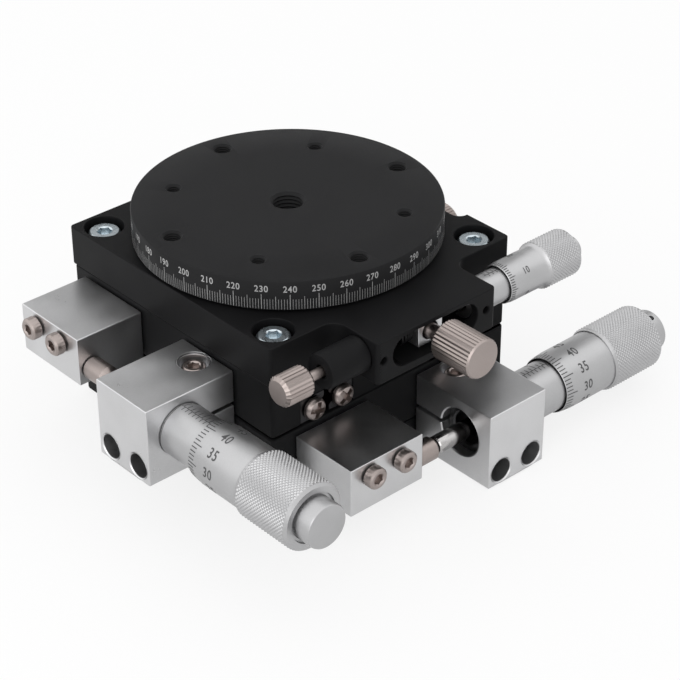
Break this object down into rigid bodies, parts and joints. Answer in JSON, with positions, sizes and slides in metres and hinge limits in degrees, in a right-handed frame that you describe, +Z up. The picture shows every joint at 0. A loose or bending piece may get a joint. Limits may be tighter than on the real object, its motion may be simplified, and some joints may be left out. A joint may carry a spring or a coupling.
{
  "type": "xyr positioning stage",
  "caption": "Manual X, Y and rotation positioning stage with crossed-roller slides, micrometer heads, a tangent-arm fine rotation drive and a round table with a degree scale.",
  "frame": {"origin": "centre of the base plate's underside", "axes": "+Z up along the table's rotation axis, +X along the lower slide and its micrometer's thimble, -Y towards the side with the fine rotation drive"},
  "size_m": [0.1099, 0.1012, 0.0442],
  "materials": {
    "black_anodised": "black anodised, matte",
    "clear_anodised": "clear anodised, bead blasted",
    "satin_chrome": "satin chrome",
    "nickel": "nickel plated",
    "zinc": "zinc plated",
    "black_oxide": "black oxide",
    "ground_steel": "ground",
    "spring_steel": "drawn wire"
  },
  "bodies": {
    "base": {"base_plate": "black_anodised", "x_inner_rail_front": "ground_steel", "x_inner_rail_back": "ground_steel", "x_return_spring": "spring_steel", "x_micrometer_bracket": "clear_anodised", "x_bracket_screw_left": "black_oxide", "x_bracket_screw_right": "black_oxide", "x_clamp_screw": "black_oxide", "x_micrometer_sleeve": "satin_chrome"},
    "x_spindle": {"x_micrometer_spindle": "satin_chrome"},
    "x_thimble": {"x_micrometer_thimble": "satin_chrome"},
    "x_cages": {"x_roller_cage_front": "ground_steel", "x_roller_cage_back": "ground_steel"},
    "x_carriage": {"middle_plate": "black_anodised", "x_outer_rail_front": "ground_steel", "x_outer_rail_back": "ground_steel", "x_anvil_block": "clear_anodised", "x_anvil_block_screw_left": "nickel", "x_anvil_block_screw_right": "nickel", "x_anvil_pin": "nickel", "y_inner_rail_left": "ground_steel", "y_inner_rail_right": "ground_steel", "y_inner_rail_screw_left": "nickel", "y_inner_rail_screw_right": "nickel", "y_return_spring": "spring_steel", "y_micrometer_bracket": "clear_anodised", "y_bracket_screw_left": "black_oxide", "y_bracket_screw_right": "black_oxide", "y_clamp_screw": "black_oxide", "y_micrometer_sleeve": "satin_chrome"},
    "x_lock": {"x_lock_knob": "nickel"},
    "y_spindle": {"y_micrometer_spindle": "satin_chrome"},
    "y_thimble": {"y_micrometer_thimble": "satin_chrome"},
    "y_cages": {"y_roller_cage_left": "ground_steel", "y_roller_cage_right": "ground_steel"},
    "y_carriage": {"y_plate": "black_anodised", "y_outer_rail_left": "ground_steel", "y_outer_rail_right": "ground_steel", "y_outer_rail_screw_left": "nickel", "y_outer_rail_screw_right": "nickel", "y_anvil_block": "clear_anodised", "y_anvil_block_screw_left": "nickel", "y_anvil_block_screw_right": "nickel", "y_anvil_pin": "nickel", "rotary_body": "black_anodised", "corner_screw_front_left": "zinc", "corner_screw_front_right": "zinc", "corner_screw_back_left": "zinc", "corner_screw_back_right": "zinc", "turntable_bearing": "ground_steel", "spring_barrel": "black_anodised", "preload_spring": "spring_steel", "fine_micrometer_sleeve": "satin_chrome"},
    "y_lock": {"y_lock_knob": "nickel"},
    "fine_spindle": {"fine_micrometer_spindle": "satin_chrome"},
    "fine_thimble": {"fine_micrometer_thimble": "satin_chrome"},
    "plunger": {"plunger_rod": "nickel"},
    "clamp_ring": {"tangent_arm": "clear_anodised"},
    "arm_knob": {"arm_clamp_knob": "nickel"},
    "table": {"table_disc": "black_anodised"}
  },
  "joints": [
    {"name": "x_spindle_slide", "type": "slide", "parent": "base", "child": "x_spindle", "axis": [1, 0, 0], "range_m": [-0.0065, 0.0065]},
    {"name": "x_thimble_spin", "type": "hinge", "parent": "x_spindle", "child": "x_thimble", "pos_m": [0.04, -0.042, 0.0093], "axis": [1, 0, 0], "range_deg": [-4680, 4680]},
    {"name": "x_slide", "type": "slide", "parent": "base", "child": "x_carriage", "axis": [1, 0, 0], "range_m": [-0.0065, 0.0065], "deforming": ["x_return_spring"]},
    {"name": "x_cage_slide", "type": "slide", "parent": "base", "child": "x_cages", "axis": [1, 0, 0], "range_m": [-0.00325, 0.00325]},
    {"name": "x_lock_turn", "type": "hinge", "parent": "x_carriage", "child": "x_lock", "pos_m": [0, 0.035, 0.0118], "axis": [0, 1, 0], "range_deg": [0, 180]},
    {"name": "y_spindle_slide", "type": "slide", "parent": "x_carriage", "child": "y_spindle", "axis": [0, -1, 0], "range_m": [-0.0065, 0.0065]},
    {"name": "y_thimble_spin", "type": "hinge", "parent": "y_spindle", "child": "y_thimble", "pos_m": [-0.042, -0.04, 0.0208], "axis": [0, -1, 0], "range_deg": [-4680, 4680]},
    {"name": "y_slide", "type": "slide", "parent": "x_carriage", "child": "y_carriage", "axis": [0, -1, 0], "range_m": [-0.0065, 0.0065], "deforming": ["y_return_spring"]},
    {"name": "y_cage_slide", "type": "slide", "parent": "x_carriage", "child": "y_cages", "axis": [0, -1, 0], "range_m": [-0.00325, 0.00325]},
    {"name": "y_lock_turn", "type": "hinge", "parent": "y_carriage", "child": "y_lock", "pos_m": [0.035, 0, 0.0233], "axis": [1, 0, 0], "range_deg": [0, 180]},
    {"name": "fine_spindle_slide", "type": "slide", "parent": "y_carriage", "child": "fine_spindle", "axis": [1, 0, 0], "range_m": [-0.0032, 0.0032]},
    {"name": "fine_thimble_spin", "type": "hinge", "parent": "fine_spindle", "child": "fine_thimble", "pos_m": [0.03, -0.0365, 0.0335], "axis": [1, 0, 0], "range_deg": [-2295, 2295]},
    {"name": "plunger_slide", "type": "slide", "parent": "y_carriage", "child": "plunger", "axis": [1, 0, 0], "range_m": [-0.0032, 0.0032], "deforming": ["preload_spring"]},
    {"name": "fine_rotation", "type": "hinge", "parent": "y_carriage", "child": "clamp_ring", "pos_m": [0, 0, 0.0335], "axis": [0, 0, 1], "range_deg": [-5, 5]},
    {"name": "arm_clamp_turn", "type": "hinge", "parent": "clamp_ring", "child": "arm_knob", "pos_m": [0, -0.048, 0.0335], "axis": [0, -1, 0], "range_deg": [0, 180]},
    {"name": "table_rotation", "type": "hinge", "parent": "clamp_ring", "child": "table", "pos_m": [0, 0, 0.041], "axis": [0, 0, 1], "continuous": true}
  ],
  "couplings": [
    {"joint": "x_spindle_slide", "follows": "x_slide", "ratio": 1},
    {"joint": "x_thimble_spin", "follows": "x_slide", "rad_per_m": 12566},
    {"joint": "x_cage_slide", "follows": "x_slide", "ratio": 0.5},
    {"joint": "y_spindle_slide", "follows": "y_slide", "ratio": 1},
    {"joint": "y_thimble_spin", "follows": "y_slide", "rad_per_m": 12566},
    {"joint": "y_cage_slide", "follows": "y_slide", "ratio": 0.5},
    {"joint": "fine_spindle_slide", "follows": "fine_rotation", "m_per_rad": 0.0365},
    {"joint": "plunger_slide", "follows": "fine_rotation", "m_per_rad": 0.0365},
    {"joint": "fine_thimble_spin", "follows": "fine_rotation", "ratio": 458.67}
  ]
}
